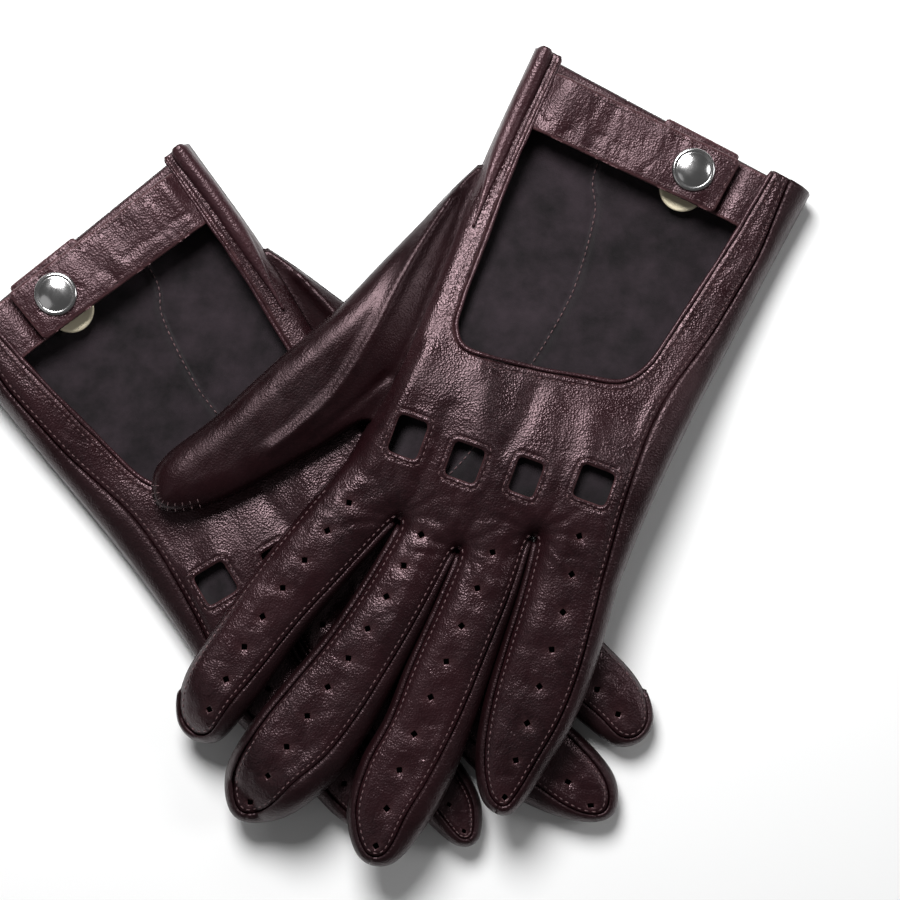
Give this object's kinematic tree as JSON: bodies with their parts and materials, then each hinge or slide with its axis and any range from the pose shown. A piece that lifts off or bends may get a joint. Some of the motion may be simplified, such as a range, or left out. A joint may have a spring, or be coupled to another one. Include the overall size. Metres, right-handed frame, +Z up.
{
  "type": "leather driving gloves",
  "caption": "Pair of unlined leather driving gloves with open backs, knuckle holes and snapped wrist straps, lying crossed.",
  "frame": {"origin": "middle of the pair's footprint, on the surface that the gloves lie on", "axes": "+Z up; +Y towards the cuffs, -Y towards the fingertips; +X towards the left glove's cuff"},
  "size_m": [0.2482, 0.234, 0.025],
  "materials": {
    "burgundy_leather": "semi-gloss fine grain",
    "side_leather": "semi-gloss fine grain",
    "strap_leather": "creased semi-gloss grain",
    "edge_leather": "rolled, semi-gloss",
    "palm_leather_suede_inside": "suede inside, grain outside",
    "polished_nickel": "polished",
    "satin_nickel": "satin",
    "pale_brass": "polished"
  },
  "bodies": {
    "right_glove": {"right_back_panel": "burgundy_leather", "right_cuff_side_strip": "side_leather", "right_cuff_tab": "edge_leather", "right_index_fourchette_little_side": "side_leather", "right_index_side_strip": "side_leather", "right_little_fourchette_thumb_side": "side_leather", "right_little_side_strip": "side_leather", "right_middle_fourchette_little_side": "side_leather", "right_middle_fourchette_thumb_side": "side_leather", "right_palm_cuff_hem": "edge_leather", "right_palm_little_side": "palm_leather_suede_inside", "right_palm_thumb_side": "palm_leather_suede_inside", "right_ring_fourchette_little_side": "side_leather", "right_ring_fourchette_thumb_side": "side_leather", "right_rolled_cuff_edge": "edge_leather", "right_snap_back_plate": "pale_brass", "right_snap_stud": "satin_nickel", "right_strap_tab": "strap_leather", "right_thumb_back": "burgundy_leather", "right_thumb_palm": "burgundy_leather", "right_thumb_side_strip": "side_leather", "right_window_binding": "edge_leather"},
    "left_glove": {"left_back_panel": "burgundy_leather", "left_cuff_side_strip": "side_leather", "left_cuff_tab": "edge_leather", "left_index_fourchette_little_side": "side_leather", "left_index_side_strip": "side_leather", "left_little_fourchette_thumb_side": "side_leather", "left_little_side_strip": "side_leather", "left_middle_fourchette_little_side": "side_leather", "left_middle_fourchette_thumb_side": "side_leather", "left_palm_cuff_hem": "edge_leather", "left_palm_little_side": "palm_leather_suede_inside", "left_palm_thumb_side": "palm_leather_suede_inside", "left_ring_fourchette_little_side": "side_leather", "left_ring_fourchette_thumb_side": "side_leather", "left_rolled_cuff_edge": "edge_leather", "left_snap_back_plate": "pale_brass", "left_snap_stud": "satin_nickel", "left_strap_tab": "strap_leather", "left_thumb_back": "burgundy_leather", "left_thumb_palm": "burgundy_leather", "left_thumb_side_strip": "side_leather", "left_window_binding": "edge_leather"},
    "right_strap": {"right_snap_cap": "polished_nickel", "right_snap_socket": "satin_nickel", "right_strap": "strap_leather"},
    "left_strap": {"left_snap_cap": "polished_nickel", "left_snap_socket": "satin_nickel", "left_strap": "strap_leather"}
  },
  "joints": [
    {"name": "left_glove_lift", "type": "slide", "parent": "right_glove", "child": "left_glove", "axis": [0, 0, 1], "range_m": [0, 0.12]},
    {"name": "right_strap_open", "type": "hinge", "parent": "right_glove", "child": "right_strap", "pos_m": [-0.05552, 0.07131, 0.0156], "axis": [-0.632, 0.7749, 0], "range_deg": [0, 140]},
    {"name": "left_strap_open", "type": "hinge", "parent": "left_glove", "child": "left_strap", "pos_m": [0.04933, 0.09939, 0.0159], "axis": [-0.4741, -0.8805, 0], "range_deg": [0, 140]}
  ]
}
